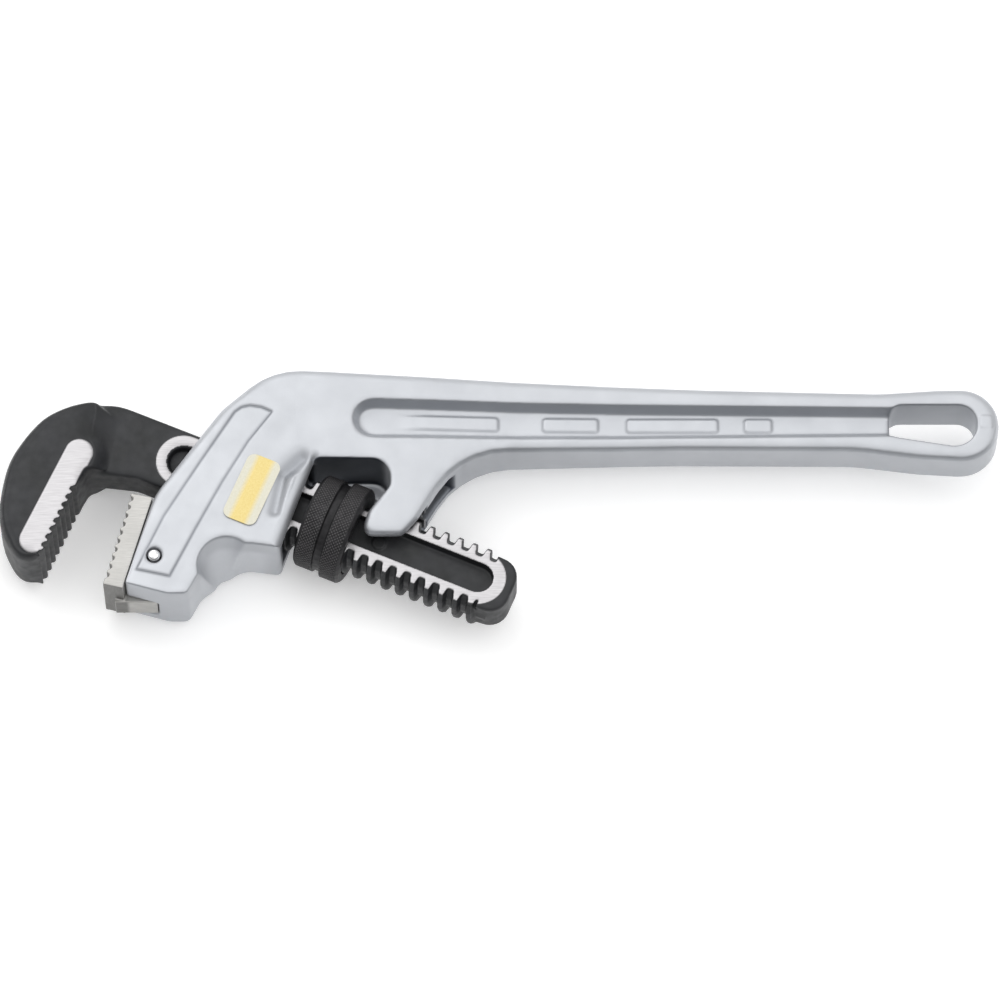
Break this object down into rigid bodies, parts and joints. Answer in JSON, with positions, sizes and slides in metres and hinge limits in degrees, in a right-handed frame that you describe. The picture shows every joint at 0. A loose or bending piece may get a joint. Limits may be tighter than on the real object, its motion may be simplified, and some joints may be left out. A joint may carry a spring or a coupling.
{
  "type": "pipe wrench",
  "caption": "Adjustable pipe wrench in the end pattern, with an aluminium handle, a sliding hook jaw, a knurled adjusting nut and a replaceable heel jaw.",
  "frame": {"origin": "middle of the lowest side of the bounding box, with the wrench lying on its back side", "axes": "+X along the handle towards its hanging hole, +Y to the back of the handle, +Z out of the side with the label"},
  "size_m": [0.3296, 0.0846, 0.0332],
  "materials": {
    "cast_aluminium": "fine-cast, satin",
    "black_forging": "satin black on forged steel, ground bright on the teeth, the pads and the rim of the channel",
    "nut_steel": "black oxide, knurled",
    "jaw_steel": "machined, light grain",
    "pin_steel": "bright",
    "spring_steel": "oiled, dark",
    "rivet_steel": "plain",
    "label_film": "blank printed film"
  },
  "bodies": {
    "handle": {"handle_housing": "cast_aluminium", "heel_jaw": "jaw_steel", "heel_jaw_pin": "pin_steel", "coil_spring": "spring_steel", "label": "label_film"},
    "rocker": {"flat_spring": "spring_steel", "spring_rivet": "rivet_steel"},
    "nut": {"adjusting_nut": "nut_steel"},
    "hook": {"hook_jaw": "black_forging"}
  },
  "joints": [
    {"name": "jaw_rock", "type": "hinge", "parent": "handle", "child": "rocker", "pos_m": [-0.05485, -0.00953, 0.0166], "axis": [0, 0, -1], "range_deg": [0, 3], "stiffness_Nm_per_rad": 8, "deforming": ["coil_spring"]},
    {"name": "jaw_slide", "type": "slide", "parent": "rocker", "child": "hook", "axis": [-0.9205, 0.3907, 0], "range_m": [-0.0165, 0.042]},
    {"name": "nut_spin", "type": "hinge", "parent": "rocker", "child": "nut", "pos_m": [-0.05485, -0.00953, 0.0166], "axis": [0.9205, -0.3907, 0], "range_deg": [-1180, 2990]}
  ],
  "couplings": [
    {"joint": "nut_spin", "follows": "jaw_slide", "rad_per_m": 1236.8}
  ]
}
